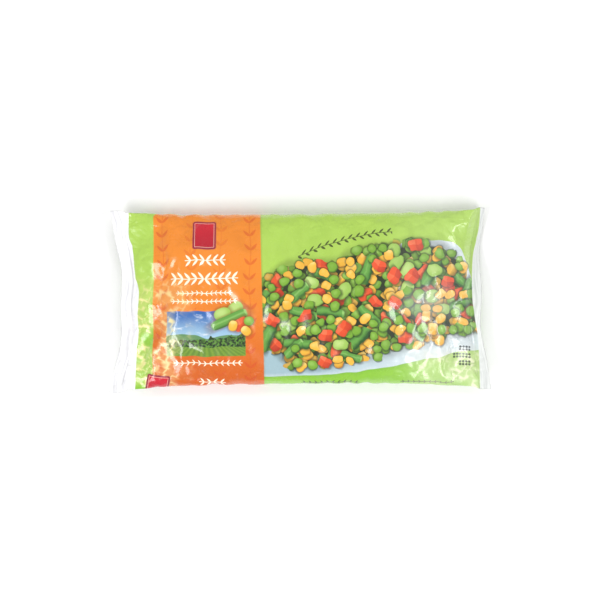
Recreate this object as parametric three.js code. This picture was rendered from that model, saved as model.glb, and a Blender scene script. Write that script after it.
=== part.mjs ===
// A filled pillow bag of frozen vegetables, lying on its back: one tube of film, sealed flat at both ends,
// with the seam of the tube running lengthwise under it. Millimetres, +X along the bag, +Y across it, +Z up.
// The origin is at the middle of the bag's outline, on the surface that it lies on.
import * as THREE from "three";

// Driving dimensions
const LENGTH = 371; // from corner tip to corner tip of the end seals
const SEAL_WIDTH = 177; // across the flat end seals
const MIDDLE_WIDTH = 163; // across the filled middle
const THICKNESS = 46; // the filled middle, from the table to the top
const WAIST_HEIGHT = 20; // the widest line of the filled middle, above the table
const UNDERSIDE_DEPTH = 25; // how far the underside would bulge below that line if the table let it
const SEAL_DEPTH = 12; // the welded strip at each end, along the bag
const SEAL_HEIGHT = 14; // the middle of the end seals, above the table
const FILM_THICKNESS = 0.9; // of the two welded layers, drawn thick enough to be a solid

// How the film is drawn in at the ends, and where the outline runs
const LEFT_PULL_IN = 12; // the middle of the left seal is this far inside its corners
const RIGHT_PULL_IN = 11;
const CORNER_LIFT = 7; // the corners of the seals stand this much above their middles
const RIGHT_DROOP = 0.85; // radians that the upper end of the right seal hangs down by
const DROOP_LINE = 0.895; // where it begins to bend, as a share of the half length
const BODY_FULLNESS = 3; // how square the filled body is, seen from the side
const BODY_TAPER = 1.75; // how bluntly it comes down to the seals
const FLANK = 1; // how steeply the film rounds over to the long sides

// The seam flap of the tube, pressed flat against the underside
const SEAM_OFFSET = 8; // its middle, across the bag
const SEAM_WIDTH = 12;
const SEAM_GROOVE = 0.9; // the film is tented this high along the flap's edges
const SEAM_SHOULDER = 3.2; // how far the tenting reaches to each side
const SEAM_STEP = 0.7; // the flap makes the welded ends this much thicker where it crosses them

// Folds and lumps of the film
const PUCKERS = 9; // folds that run in from each seal, on each side
const PUCKER_DEPTH = 4.2;
const PUCKER_WIDTH = 8; // half the width of a fold where it leaves the seal
const SEAL_WAVE = 1.6; // height of the slow waves of the seals
const SEAL_EDGE_WAVE = 1.1; // how far the cut edges wander, seen from above
const CRIMP_PITCH = 23; // the short folds along the bag's long sides
const CRIMP_DEPTH = 0.7;
const LUMP_WAVES = 7; // the contents under the film, as waves that cross in all directions
const LUMP_PITCH = 34;
const LUMP_HEIGHT = 1.5;

// How finely the film is drawn
const STATIONS = 62; // along the bag
const COLUMNS = 40; // across each side
const END_CROWDING = 0.35; // stations lie closer near the ends, where the folds are
const SEED = 20;

const TOP = 1;
const UNDERSIDE = -1;
const SEAL_LINE = 1 - SEAL_DEPTH / (LENGTH / 2); // where the weld begins, as a share of the half length
const { lerp, smoothstep, clamp } = THREE.MathUtils;

// A small seeded generator, so that the folds are uneven but always the same.
function seededDraws(seed) {
  let state = seed;
  return () => {
    state = (state * 1664525 + 1013904223) % 4294967296;
    return state / 4294967296;
  };
}

// The folds that run in from one seal: where each starts across the bag, how wide and deep it is, and the
// share of the half length where it fades out.
function makePuckers(seed) {
  const draw = seededDraws(seed);
  return Array.from({ length: PUCKERS }, (_, i) => ({
    start: lerp(-0.92, 0.92, (i + 0.5 + 0.55 * (draw() - 0.5)) / PUCKERS),
    width: (PUCKER_WIDTH / (SEAL_WIDTH / 2)) * lerp(0.8, 1.4, draw()),
    depth: PUCKER_DEPTH * lerp(0.45, 1, draw()) * (i % 2 ? -0.75 : 1),
    reach: lerp(0.42, 0.7, draw()),
  }));
}

const puckers = [-1, 1].map((end) => ({
  [TOP]: makePuckers(SEED + end),
  [UNDERSIDE]: makePuckers(SEED + 5 * end),
}));

// How full the bag is at a station: 1 in the middle, 0 from the weld outwards.
function fullness(along) {
  const share = Math.min(Math.abs(along) / SEAL_LINE, 1);
  return Math.pow(1 - Math.pow(share, BODY_FULLNESS), 1 / BODY_TAPER);
}

// Half the bag's width at a station: a full tube is narrower than a flat one.
function halfWidth(along) {
  return lerp(SEAL_WIDTH, MIDDLE_WIDTH, fullness(along)) / 2;
}

// The middle of the outline leans a little from end to end.
function outlineMiddle(along) {
  return 1.4 + 1.8 * along - 1.2 * along * along;
}

// Height of the line where the top and the underside of the film meet, and of the weld itself.
function waistHeight(along, across) {
  const outwards = smoothstep(Math.abs(along), 0.55, 1);
  const middle = lerp(WAIST_HEIGHT, SEAL_HEIGHT, outwards);
  const phase = along < 0 ? 0.6 : 2.1;
  const wave = SEAL_WAVE * (Math.sin(5.3 * across + phase) + 0.5 * Math.sin(10.7 * across + 2 * phase));
  const corner = CORNER_LIFT * Math.pow(Math.abs(across), 3);
  return middle + (wave + corner) * smoothstep(Math.abs(along), 0.74, 1);
}

// The summed height of the puckers at a point of the film, before they fade where the bag is thin.
function puckerHeight(along, across, side) {
  const distance = Math.abs(along);
  const folds = puckers[along < 0 ? 0 : 1][side];
  let height = 0;
  for (const fold of folds) {
    const inwards = clamp((1 - distance) / (1 - fold.reach), 0, 1);
    const middle = fold.start * (1 - 0.3 * inwards);
    const offset = (across - middle) / (fold.width * (1 + 0.8 * inwards));
    height += (fold.depth * Math.pow(1 - inwards, 1.4)) / (1 + offset * offset);
  }
  return height;
}

// The waves that make up the lumps: the direction and pitch of each, and where it starts.
const lumpDraw = seededDraws(SEED);
const lumpWaves = Array.from({ length: LUMP_WAVES }, (_, i) => {
  const direction = (Math.PI * (i + 0.6 * lumpDraw())) / LUMP_WAVES;
  const step = (2 * Math.PI) / (LUMP_PITCH * lerp(0.75, 1.6, lumpDraw()));
  return { x: step * Math.cos(direction), y: step * Math.sin(direction), phase: 2 * Math.PI * lumpDraw() };
});

// The contents press the film up in broad, uneven lumps.
function lumpHeight(x, y) {
  const heights = lumpWaves.map((wave) => Math.sin(wave.x * x + wave.y * y + wave.phase));
  return (LUMP_HEIGHT * heights.reduce((sum, height) => sum + height)) / Math.sqrt(LUMP_WAVES);
}

// Short folds across the long sides, where the film is longer than the body that it goes round.
function crimpDepth(along, x, across) {
  const edge = smoothstep(Math.abs(across), 0.72, 1);
  const middle = 1 - smoothstep(Math.abs(along), 0.7, 0.9);
  const step = (2 * Math.PI) / CRIMP_PITCH;
  const wander = 2.4 * Math.sin(x / 31 + 2 * Math.sign(across));
  const swell = 0.6 + 0.4 * Math.sin(x / 19 + Math.sign(across));
  return CRIMP_DEPTH * edge * middle * swell * Math.sin(step * x + wander);
}

// How high the film is tented along the two edges of the seam flap.
function seamHeight(y) {
  const fromEdge = Math.abs(Math.abs(y - SEAM_OFFSET) - SEAM_WIDTH / 2);
  return SEAM_GROOVE * (1 - smoothstep(fromEdge, 0, SEAM_SHOULDER));
}

// The place of one point of the film. along runs from -1 at the left end to 1 at the right end,
// across from -1 to 1 at the long sides, and side says whether it is on the top or the underside.
function filmPoint(along, across, side) {
  const full = fullness(along);
  const distance = Math.abs(along);
  const round = Math.sin((Math.PI / 2) * across);
  let y = halfWidth(along) * lerp(across, round, Math.min(1, 1.5 * full));

  const pullIn = along < 0 ? LEFT_PULL_IN : RIGHT_PULL_IN;
  const drawnIn = pullIn * (1 - across * across) * smoothstep(distance, 0.35, SEAL_LINE);
  const wander = SEAL_EDGE_WAVE * Math.sin(8.4 * across + along) * smoothstep(distance, 0.8, 1);
  let x = (along * LENGTH) / 2 - Math.sign(along) * drawnIn + wander;

  let z = waistHeight(along, across);
  const arch = Math.pow(Math.cos((Math.PI / 2) * across), FLANK);
  if (side === TOP) {
    z += (THICKNESS - WAIST_HEIGHT) * full * arch;
    z += lumpHeight(x, y) * Math.min(1, 2 * full) * arch;
  } else {
    z -= UNDERSIDE_DEPTH * full * arch;
  }
  z += puckerHeight(along, across, side) * Math.min(1, 4 * full * arch);
  y += crimpDepth(along, x, across) * Math.sign(across);

  // The upper end of the right seal hangs down.
  if (along > DROOP_LINE) {
    const droop = RIGHT_DROOP * smoothstep(across, -0.1, 1);
    const outside = ((along - DROOP_LINE) * LENGTH) / 2;
    x -= outside * (1 - Math.cos(droop));
    z -= outside * Math.sin(droop);
  }
  z += (side * FILM_THICKNESS) / 2;
  y += outlineMiddle(along);
  if (side === UNDERSIDE) {
    if (Math.abs(y - SEAM_OFFSET) < SEAM_WIDTH / 2) z -= SEAM_STEP * (1 - Math.min(1, 2 * full));
    z = Math.max(z, seamHeight(y) * Math.min(1, 2 * full));
  }
  return [x, y, Math.max(z, 0)];
}

// Stations along the bag, closer together towards the ends.
function stationAt(i) {
  const even = (2 * i) / STATIONS - 1;
  return even + (END_CROWDING * Math.sin(Math.PI * even)) / Math.PI;
}

// The closed skin: the top and the underside, which share the points of the long sides, and the two cut ends.
function filmGeometry() {
  const points = [];
  const rows = [];
  for (let i = 0; i <= STATIONS; i++) {
    const along = stationAt(i);
    const add = (across, side) => points.push(filmPoint(along, across, side)) - 1;
    const acrossAt = (j) => (2 * j) / COLUMNS - 1;
    const top = Array.from({ length: COLUMNS + 1 }, (_, j) => add(acrossAt(j), TOP));
    const underside = Array.from({ length: COLUMNS + 1 }, (_, j) => add(acrossAt(j), UNDERSIDE));
    rows.push({ top, underside });
  }

  const triangles = [];
  const quad = (a, b, c, d) => triangles.push(a, b, c, a, c, d);
  for (let i = 0; i < STATIONS; i++) {
    const [here, next] = [rows[i], rows[i + 1]];
    for (let j = 0; j < COLUMNS; j++) {
      quad(here.top[j], next.top[j], next.top[j + 1], here.top[j + 1]);
      quad(here.underside[j + 1], next.underside[j + 1], next.underside[j], here.underside[j]);
    }
    quad(here.underside[0], next.underside[0], next.top[0], here.top[0]);
    quad(here.top[COLUMNS], next.top[COLUMNS], next.underside[COLUMNS], here.underside[COLUMNS]);
  }
  const [first, last] = [rows[0], rows[STATIONS]];
  for (let j = 0; j < COLUMNS; j++) {
    quad(first.top[j], first.top[j + 1], first.underside[j + 1], first.underside[j]);
    quad(last.top[j + 1], last.top[j], last.underside[j], last.underside[j + 1]);
  }

  const geometry = new THREE.BufferGeometry();
  geometry.setAttribute("position", new THREE.Float32BufferAttribute(points.flat(), 3));
  geometry.setIndex(triangles);
  geometry.computeBoundingBox();
  const middle = geometry.boundingBox.getCenter(new THREE.Vector3());
  geometry.translate(-middle.x, -middle.y, 0);
  geometry.computeVertexNormals();
  return geometry;
}

const printedFilm = new THREE.MeshStandardMaterial({ color: 0xa9d65c, roughness: 0.32, metalness: 0 });

const bag = new THREE.Mesh(filmGeometry(), printedFilm);
bag.name = "bag";

const group = new THREE.Group();
group.add(bag);

export default group;
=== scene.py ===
"""A shut pillow bag of frozen mixed vegetables, lying on its back on a plain pale floor.

One skin of printed film replaces the plain solid. It starts as a flat grid that is wrapped round the
form of the filled bag, and a cloth pass crumples its slack. The seam flap lies under it. The print is
drawn by shader nodes in millimetres of film, so it is sharp at any size.
"""
import logging
import math
from dataclasses import dataclass, field
from enum import Enum
from functools import reduce
from typing import Iterator, Union

import bmesh
import bpy
import numpy as np
from mathutils import Matrix, Vector
from mathutils.bvhtree import BVHTree


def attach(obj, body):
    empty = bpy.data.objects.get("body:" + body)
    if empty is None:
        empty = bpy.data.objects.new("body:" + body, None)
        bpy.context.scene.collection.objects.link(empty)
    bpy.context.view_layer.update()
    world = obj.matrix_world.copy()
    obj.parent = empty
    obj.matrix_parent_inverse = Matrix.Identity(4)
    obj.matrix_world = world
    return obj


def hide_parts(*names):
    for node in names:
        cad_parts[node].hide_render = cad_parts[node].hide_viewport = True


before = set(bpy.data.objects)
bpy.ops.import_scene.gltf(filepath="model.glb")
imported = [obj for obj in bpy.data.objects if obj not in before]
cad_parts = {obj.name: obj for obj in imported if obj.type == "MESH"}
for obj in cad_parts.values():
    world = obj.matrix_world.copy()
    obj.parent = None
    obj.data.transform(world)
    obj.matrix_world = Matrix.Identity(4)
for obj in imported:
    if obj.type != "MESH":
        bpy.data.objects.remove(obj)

MM = 0.001
NODE = "bag"
FROM_END = "from_end"
PRINT_MAP = "print"
BAKE_MAP = "OFBake"
log = logging.getLogger("bag")


def lerp(start: float, end: float, share: float) -> float:
    """Returns the value at a share of the way from start to end."""
    return start + (end - start) * share


def smoothstep(value: np.ndarray, low: float, high: float) -> np.ndarray:
    """Returns 0 below low, 1 above high and a smooth rise between them."""
    share = np.clip((value - low) / (high - low), 0.0, 1.0)
    return share * share * (3.0 - 2.0 * share)


def seeded_draws(seed: int) -> Iterator[float]:
    """Yields the same uneven numbers from 0 to 1 for the same seed.

    Args:
        seed: The state that the generator starts from.

    Returns:
        An endless iterator of numbers.
    """
    state = seed
    while True:
        state = (state * 1664525 + 1013904223) % 4294967296
        yield state / 4294967296


def ink(red: int, green: int, blue: int) -> tuple[float, float, float, float]:
    """Returns a screen colour, each channel from 0 to 255, as a linear colour for a shader."""
    channels = [c / 255 for c in (red, green, blue)]
    linear = [c / 12.92 if c <= 0.04045 else ((c + 0.055) / 1.055) ** 2.4 for c in channels]
    return (*linear, 1.0)


class Side(Enum):
    """The two layers of film that meet along the bag's long sides."""

    TOP = 1.0
    UNDERSIDE = -1.0


@dataclass(frozen=True)
class Pucker:
    """One fold that runs in from a seal.

    Args:
        start: Where it starts across the bag, from -1 to 1.
        width: Half its width, as a share of the seal's half width.
        depth: How far it lifts the film, in millimetres.
        reach: The share of the half length where it fades out.
    """

    start: float
    width: float
    depth: float
    reach: float


@dataclass
class BagForm:
    """The form of the filled bag, in millimetres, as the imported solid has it."""

    length: float = 371.0
    seal_width: float = 177.0
    middle_width: float = 163.0
    thickness: float = 46.0
    waist_height: float = 20.0
    underside_depth: float = 25.0
    seal_depth: float = 12.0
    seal_height: float = 14.0
    weld_thickness: float = 0.5
    left_pull_in: float = 12.0
    right_pull_in: float = 11.0
    corner_lift: float = 7.0
    right_droop: float = 0.85
    droop_line: float = 0.895
    body_fullness: float = 3.0
    body_taper: float = 1.75
    seam_offset: float = 8.0
    seam_width: float = 12.0
    seam_groove: float = 0.9
    seam_shoulder: float = 3.2
    flap_room: float = 0.4
    pucker_count: int = 9
    pucker_depth: float = 4.2
    pucker_width: float = 8.0
    pucker_spread: float = 0.92
    pucker_fade: float = 1.4
    seal_wave: float = 1.6
    seal_edge_wave: float = 1.1
    pull_from: float = 0.35
    narrowing_from: float = 0.55
    wave_from: float = 0.74
    edge_wave_from: float = 0.8
    weld_thins_from: float = 0.995
    bend: tuple[float, float, float] = (1.4, 1.8, -1.2)
    crimp_pitch: float = 23.0
    crimp_depth: float = 0.7
    crimp_from: float = 0.72
    crimp_fade: tuple[float, float] = (0.7, 0.9)
    lump_waves: int = 7
    lump_pitch: float = 34.0
    lump_height: float = 1.5
    seed: int = 20
    puckers: dict[tuple[int, Side], list[Pucker]] = field(init=False)
    waves: list[tuple[float, float, float]] = field(init=False)

    def __post_init__(self) -> None:
        """Draws the folds of the film and the lumps of the contents."""
        self.puckers = {}
        for end in (-1, 1):
            self.puckers[end, Side.TOP] = self._draw_puckers(self.seed + end)
            self.puckers[end, Side.UNDERSIDE] = self._draw_puckers(self.seed + 5 * end)
        draw = seeded_draws(self.seed)
        self.waves = []
        for i in range(self.lump_waves):
            heading = math.pi * (i + 0.6 * next(draw)) / self.lump_waves
            step = 2 * math.pi / (self.lump_pitch * lerp(0.75, 1.6, next(draw)))
            phase = 2 * math.pi * next(draw)
            self.waves.append((step * math.cos(heading), step * math.sin(heading), phase))

    def _draw_puckers(self, seed: int) -> list[Pucker]:
        """Draws the folds of one layer at one seal.

        Args:
            seed: The seed of the draws.

        Returns:
            The folds.
        """
        draw = seeded_draws(seed)
        folds = []
        for i in range(self.pucker_count):
            share = (i + 0.5 + 0.55 * (next(draw) - 0.5)) / self.pucker_count
            start = lerp(-self.pucker_spread, self.pucker_spread, share)
            width = self.pucker_width / (self.seal_width / 2) * lerp(0.8, 1.4, next(draw))
            depth = self.pucker_depth * lerp(0.45, 1, next(draw)) * (-0.75 if i % 2 else 1)
            folds.append(Pucker(start, width, depth, lerp(0.42, 0.7, next(draw))))
        return folds

    @property
    def half_length(self) -> float:
        """Returns half the bag's length."""
        return self.length / 2

    @property
    def seal_line(self) -> float:
        """Returns where the weld begins, as a share of the half length."""
        return 1 - self.seal_depth / self.half_length

    def fullness(self, along: np.ndarray) -> np.ndarray:
        """Returns how full the bag is: 1 in the middle, 0 from the weld outwards."""
        share = np.minimum(np.abs(along) / self.seal_line, 1)
        return np.power(1 - np.power(share, self.body_fullness), 1 / self.body_taper)

    def edge_height(self, along: np.ndarray, across: np.ndarray) -> np.ndarray:
        """Finds the height of the line where the two layers meet, and of the weld.

        Args:
            along: From -1 at the left end to 1 at the right end.
            across: From -1 to 1 at the long sides.

        Returns:
            The heights.
        """
        narrowing = smoothstep(np.abs(along), self.narrowing_from, 1)
        middle = lerp(self.waist_height, self.seal_height, narrowing)
        phase = np.where(along < 0, 0.6, 2.1)
        wave = self.seal_wave * (np.sin(5.3 * across + phase) + 0.5 * np.sin(10.7 * across + 2 * phase))
        corner = self.corner_lift * np.abs(across) ** 3
        return middle + (wave + corner) * smoothstep(np.abs(along), self.wave_from, 1)

    def pucker_height(self, along: np.ndarray, across: np.ndarray, side: Side) -> np.ndarray:
        """Sums the heights of the folds, before they fade where the bag is thin.

        Args:
            along: From -1 at the left end to 1 at the right end.
            across: From -1 to 1 at the long sides.
            side: The layer.

        Returns:
            The heights.
        """
        distance = np.abs(along)
        total = np.zeros_like(along)
        for end in (-1, 1):
            here = (along < 0) == (end < 0)
            for fold in self.puckers[end, side]:
                inwards = np.clip((1 - distance) / (1 - fold.reach), 0, 1)
                offset = (across - fold.start * (1 - 0.3 * inwards)) / (fold.width * (1 + 0.8 * inwards))
                total += here * fold.depth * (1 - inwards) ** self.pucker_fade / (1 + offset * offset)
        return total

    def lump_heights(self, x: np.ndarray, y: np.ndarray) -> np.ndarray:
        """Returns how far the contents press the film up."""
        heights = sum(np.sin(a * x + b * y + phase) for a, b, phase in self.waves)
        return self.lump_height * heights / math.sqrt(self.lump_waves)

    def crimp(self, along: np.ndarray, x: np.ndarray, across: np.ndarray) -> np.ndarray:
        """Finds how far the short folds of the long sides stand out.

        Args:
            along: From -1 at the left end to 1 at the right end.
            x: The place along the bag, in millimetres.
            across: From -1 to 1 at the long sides.

        Returns:
            The distances.
        """
        edge = smoothstep(np.abs(across), self.crimp_from, 1)
        middle = 1 - smoothstep(np.abs(along), *self.crimp_fade)
        wander = 2.4 * np.sin(x / 31 + 2 * np.sign(across))
        swell = 0.6 + 0.4 * np.sin(x / 19 + np.sign(across))
        folds = np.sin(2 * math.pi / self.crimp_pitch * x + wander)
        return self.crimp_depth * edge * middle * swell * folds

    def seam_height(self, y: np.ndarray) -> np.ndarray:
        """Finds how high the film lies over the seam flap, tented along the flap's edges.

        Args:
            y: The place across the bag, in millimetres.

        Returns:
            The heights.
        """
        outside = np.abs(y - self.seam_offset) - self.seam_width / 2
        tent = self.seam_groove * (1 - smoothstep(np.abs(outside), 0, self.seam_shoulder))
        return np.maximum(tent, self.flap_room * (1 - smoothstep(outside, 0, self.seam_shoulder)))

    def surface(self, along: np.ndarray, across: np.ndarray, side: Side) -> np.ndarray:
        """Places points of one layer of film.

        Args:
            along: From -1 at the left end to 1 at the right end.
            across: From -1 to 1 at the long sides.
            side: The layer.

        Returns:
            One row of x, y and z for each point, in millimetres.
        """
        full = self.fullness(along)
        half_width = lerp(self.seal_width, self.middle_width, full) / 2
        y = half_width * lerp(across, np.sin(math.pi / 2 * across), np.minimum(1, 1.5 * full))
        pull_in = np.where(along < 0, self.left_pull_in, self.right_pull_in)
        distance = np.abs(along)
        drawn_in = pull_in * (1 - across**2) * smoothstep(distance, self.pull_from, self.seal_line)
        near_edge = smoothstep(distance, self.edge_wave_from, 1)
        wander = self.seal_edge_wave * np.sin(8.4 * across + along) * near_edge
        x = along * self.half_length - np.sign(along) * drawn_in + wander

        z = self.edge_height(along, across)
        arch = np.cos(math.pi / 2 * across)
        swell = np.minimum(1, 2 * full)
        if side is Side.TOP:
            z = z + (self.thickness - self.waist_height) * full * arch
            z = z + self.lump_heights(x, y) * swell * arch
        else:
            z = z - self.underside_depth * full * arch
        z = z + self.pucker_height(along, across, side) * np.minimum(1, 4 * full * arch)
        y = y + self.crimp(along, x, across) * np.sign(across)

        droop = self.right_droop * smoothstep(across, -0.1, 1)
        outside = np.maximum(along - self.droop_line, 0) * self.half_length
        x = x - outside * (1 - np.cos(droop))
        z = z - outside * np.sin(droop)
        thinning = 1 - smoothstep(distance, self.weld_thins_from, 1)
        z = z + side.value * self.weld_thickness / 2 * thinning
        middle, slope, bow = self.bend
        y = y + middle + slope * along + bow * along**2
        if side is Side.UNDERSIDE:
            z = np.maximum(z, self.seam_height(y) * swell)
        return np.stack([x, y, np.maximum(z, 0)], axis=-1)

    def even_arc(self, station: float, shares: np.ndarray, side: Side) -> tuple[np.ndarray, float]:
        """Spaces points evenly along the film's own curve at one station.

        Args:
            station: The station, from -1 to 1.
            shares: Shares of the way across, from 0 to 1.
            side: The layer.

        Returns:
            The across value of each share, and the whole length of the curve.
        """
        fine = np.linspace(-1, 1, 401)
        points = self.surface(np.full_like(fine, station), fine, side)
        steps = np.linalg.norm(np.diff(points, axis=0), axis=1)
        arc = np.concatenate([[0], np.cumsum(steps)])
        return np.interp(shares * arc[-1], arc, fine), float(arc[-1])


@dataclass
class FilmSkin:
    """The printed film: a tube welded flat at both ends, with the crumples of its slack.

    Args:
        form: The form of the filled bag.
    """

    form: BagForm
    stations: int = 172
    around: int = 140
    flat_width: float = 181.0
    settle_frames: int = 16
    most_shift: float = 4.0
    slack_in_middle: float = 0.012
    slack_near_ends: float = 0.11
    hold_in_middle: float = 0.05
    hold_near_ends: float = 0.004
    hold_on_floor: float = 0.9
    floor_reach: float = 0.6
    loose_between: tuple[float, float] = (0.6, 0.93)
    flank_between: tuple[float, float] = (60.0, 80.0)
    flank_looseness: float = 0.5
    sideways_in_middle: float = 0.3
    start_noise: float = 0.02
    seed: int = 3

    def build(self) -> bpy.types.Object:
        """Wraps, crumples and smooths the film.

        Returns:
            The film, one closed mesh.
        """
        mesh = self._wrapped_grid()
        piece = bpy.data.objects.new("film", mesh)
        bpy.context.scene.collection.objects.link(piece)
        self._crumple(piece)
        mesh.polygons.foreach_set("use_smooth", [True] * len(mesh.polygons))
        smooth = piece.modifiers.new("Smooth", "SUBSURF")
        smooth.levels = smooth.render_levels = 1
        smooth.uv_smooth = "PRESERVE_BOUNDARIES"
        return piece

    def _wrapped_grid(self) -> bpy.types.Mesh:
        """Wraps the grid round the bag, maps the print on it and joins its ends and its seam.

        Returns:
            The mesh.
        """
        bm = bmesh.new()
        bmesh.ops.create_grid(bm, x_segments=self.stations, y_segments=self.around, size=1)
        flat = np.array([vert.co[:2] for vert in bm.verts])
        along, ring = flat[:, 0], flat[:, 1]
        on_top = np.abs(ring) <= 0.5 + 1e-6
        shares = np.where(on_top, ring + 0.5, np.where(ring > 0, 1.5 - ring, -0.5 - ring))
        places = np.zeros((len(flat), 3))
        for station in np.unique(np.round(along, 6)):
            row = np.abs(along - station) < 1e-5
            for side, mask in ((Side.TOP, row & on_top), (Side.UNDERSIDE, row & ~on_top)):
                across, _ = self.form.even_arc(station, shares[mask], side)
                places[mask] = self.form.surface(along[mask], across, side)
        plan = places[:, :2]
        plan -= (plan.min(axis=0) + plan.max(axis=0)) / 2
        from_end = bm.verts.layers.float.new(FROM_END)
        print_map = bm.loops.layers.uv.new(PRINT_MAP)
        bake_map = bm.loops.layers.uv.new(BAKE_MAP)
        for vert, place, share in zip(bm.verts, places, along):
            vert.co = Vector(place) * MM
            vert[from_end] = (1 - abs(share)) * self.form.half_length
        bm.verts.index_update()
        for face in bm.faces:
            for loop in face.loops:
                i = loop.vert.index
                loop[print_map].uv = (places[i][0], ring[i] * self.flat_width)
                loop[bake_map].uv = (0.5 + along[i] * 0.498, 0.5 + ring[i] * 0.498)
        bmesh.ops.remove_doubles(bm, verts=bm.verts, dist=1e-6)
        bmesh.ops.recalc_face_normals(bm, faces=bm.faces)
        mesh = bpy.data.meshes.new("film")
        bm.to_mesh(mesh)
        bm.free()
        return mesh

    def _crumple(self, piece: bpy.types.Object) -> None:
        """Lets the slack of the film fold, most near the seals and along the long sides.

        Args:
            piece: The film, which keeps the folded shape.
        """
        mesh = piece.data
        count = len(mesh.vertices)
        rest = np.empty(count * 3, dtype=np.float32)
        mesh.vertices.foreach_get("co", rest)
        rest = rest.reshape(-1, 3)
        from_end = np.empty(count, dtype=np.float32)
        mesh.attributes[FROM_END].data.foreach_get("value", from_end)
        distance = 1 - from_end / self.form.half_length
        flank = smoothstep(np.abs(rest[:, 1]) / MM, *self.flank_between)
        near_end = smoothstep(distance, *self.loose_between)
        loose = np.clip(near_end + self.flank_looseness * flank, 0, 1)
        welded = smoothstep(distance, self.form.seal_line - 0.01, self.form.seal_line)
        on_floor = rest[:, 2] < self.floor_reach * MM
        hold = np.maximum(lerp(self.hold_in_middle, self.hold_near_ends, loose), welded)
        hold = np.where(on_floor, np.maximum(hold, self.hold_on_floor), hold)
        for name, weights in (("hold", hold), ("slack", loose)):
            group = piece.vertex_groups.new(name=name)
            for index, weight in enumerate(weights):
                group.add([index], float(weight), "REPLACE")
        uneven = np.random.default_rng(self.seed).normal(0, self.start_noise * MM, rest.shape)
        start = rest + uneven * (1 - welded[:, None])
        mesh.vertices.foreach_set("co", start.astype(np.float32).ravel())

        modifier = piece.modifiers.new("Crumple", "CLOTH")
        self._set_film_stiffness(modifier)
        for number in range(1, self.settle_frames + 1):
            bpy.context.scene.frame_set(number)
        settled = piece.evaluated_get(bpy.context.evaluated_depsgraph_get())
        moved = np.empty(count * 3, dtype=np.float32)
        settled.data.vertices.foreach_get("co", moved)
        piece.modifiers.remove(modifier)
        bpy.context.scene.frame_set(1)
        shift = moved.reshape(-1, 3) - rest
        size = np.maximum(np.linalg.norm(shift, axis=1), 1e-9)
        shift *= np.minimum(1, self.most_shift * MM / size)[:, None]
        shift[:, :2] *= lerp(self.sideways_in_middle, 1.0, loose)[:, None]
        final = rest + shift
        final[:, 2] = np.maximum(final[:, 2], 0)
        mesh.vertices.foreach_set("co", final.astype(np.float32).ravel())
        piece.vertex_groups.clear()
        log.info("film crumpled, by %.2f mm on average", float(size.mean()) / MM)

    def _set_film_stiffness(self, modifier: bpy.types.Modifier) -> None:
        """Sets the cloth pass for thin film with no weight of its own.

        Args:
            modifier: The film's cloth modifier.
        """
        cloth = modifier.settings
        cloth.quality = 6
        cloth.mass = 0.02
        cloth.tension_stiffness = cloth.compression_stiffness = 40
        cloth.shear_stiffness = 20
        cloth.bending_model = "ANGULAR"
        cloth.bending_stiffness = 1.2
        cloth.tension_damping = cloth.compression_damping = 5
        cloth.bending_damping = 0.5
        cloth.air_damping = 3
        cloth.vertex_group_mass = "hold"
        cloth.pin_stiffness = 1.0
        cloth.vertex_group_shrink = "slack"
        cloth.shrink_min = -self.slack_in_middle
        cloth.shrink_max = -self.slack_near_ends
        cloth.use_pressure = True
        cloth.uniform_pressure_force = 0.06
        cloth.effector_weights.gravity = 0
        modifier.collision_settings.use_collision = False
        modifier.collision_settings.use_self_collision = False
        modifier.point_cache.frame_start = 1
        modifier.point_cache.frame_end = self.settle_frames


@dataclass
class SeamFlap:
    """The flap of the tube's lengthwise seam, pressed flat against the underside.

    Args:
        form: The form of the filled bag.
        film: The finished film that it lies against.
    """

    form: BagForm
    film: bpy.types.Object
    thickness: float = 0.25
    stations: int = 150
    columns: int = 6
    gap: float = 0.05
    end_room: float = 2.5

    def build(self) -> bpy.types.Object:
        """Lays the flap along the film.

        Returns:
            The flap, a thin closed strip.
        """
        bm = bmesh.new()
        bmesh.ops.create_grid(bm, x_segments=self.stations, y_segments=self.columns, size=1)
        graph = bpy.context.evaluated_depsgraph_get()
        tree = BVHTree.FromObject(self.film, graph)
        half = self.form.half_length - self.form.left_pull_in - self.end_room
        for vert in bm.verts:
            x = vert.co.x * half * MM
            y = (self.form.seam_offset + vert.co.y * self.form.seam_width / 2) * MM
            hit = tree.ray_cast(Vector((x, y, -1)), Vector((0, 0, 1)))[0]
            height = hit.z if hit else self.form.seal_height * MM
            vert.co = (x, y, height - self.gap * MM)
        mesh = bpy.data.meshes.new("seam_flap")
        bm.to_mesh(mesh)
        bm.free()
        mesh.polygons.foreach_set("use_smooth", [True] * len(mesh.polygons))
        piece = bpy.data.objects.new("seam_flap", mesh)
        bpy.context.scene.collection.objects.link(piece)
        wall = piece.modifiers.new("Wall", "SOLIDIFY")
        wall.thickness = self.thickness * MM
        wall.offset = -1
        return piece


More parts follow.
